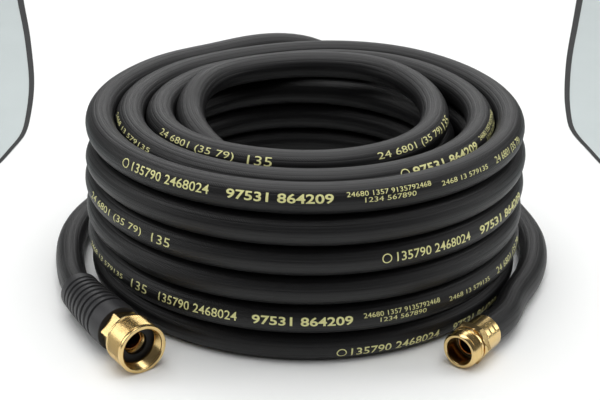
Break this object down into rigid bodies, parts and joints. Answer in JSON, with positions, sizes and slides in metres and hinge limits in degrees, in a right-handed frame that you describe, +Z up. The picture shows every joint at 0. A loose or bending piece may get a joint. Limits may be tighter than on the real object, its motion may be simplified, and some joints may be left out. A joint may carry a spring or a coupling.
{
  "type": "garden hose coil",
  "caption": "Coil of reinforced half-inch garden hose with a swivelling tap nut, a ribbed bend guard and a threaded outlet.",
  "frame": {"origin": "on the floor, in the middle of the hose's outline seen from above", "axes": "+Z up from the floor that the coil lies on; -Y towards the side where both fittings lie; +X from the tap fitting towards the outlet fitting"},
  "size_m": [0.3334, 0.3236, 0.1209],
  "materials": {
    "hose": "matte, with a faint woven relief",
    "brass": "machined, semi-polished",
    "guard": "matte moulded",
    "washer": "matte",
    "liner": "smooth",
    "braid": "textile yarn"
  },
  "bodies": {
    "hose": {"hose_coil": "hose", "tap_lead": "hose", "outlet_lead": "hose", "tap_tailpiece": "brass", "tap_insert": "brass", "bend_guard": "guard", "tap_end_liner": "liner", "tap_end_braid": "braid", "tap_end_cover": "hose", "outlet_coupling": "brass", "outlet_insert": "brass", "outlet_end_liner": "liner", "outlet_end_braid": "braid", "outlet_end_cover": "hose"},
    "nut": {"tap_nut": "brass", "tap_washer": "washer"}
  },
  "joints": [
    {"name": "tap_swivel", "type": "hinge", "parent": "hose", "child": "nut", "pos_m": [-0.09952, -0.14126, 0.0153], "axis": [0.5864, -0.81, 0], "continuous": true}
  ]
}
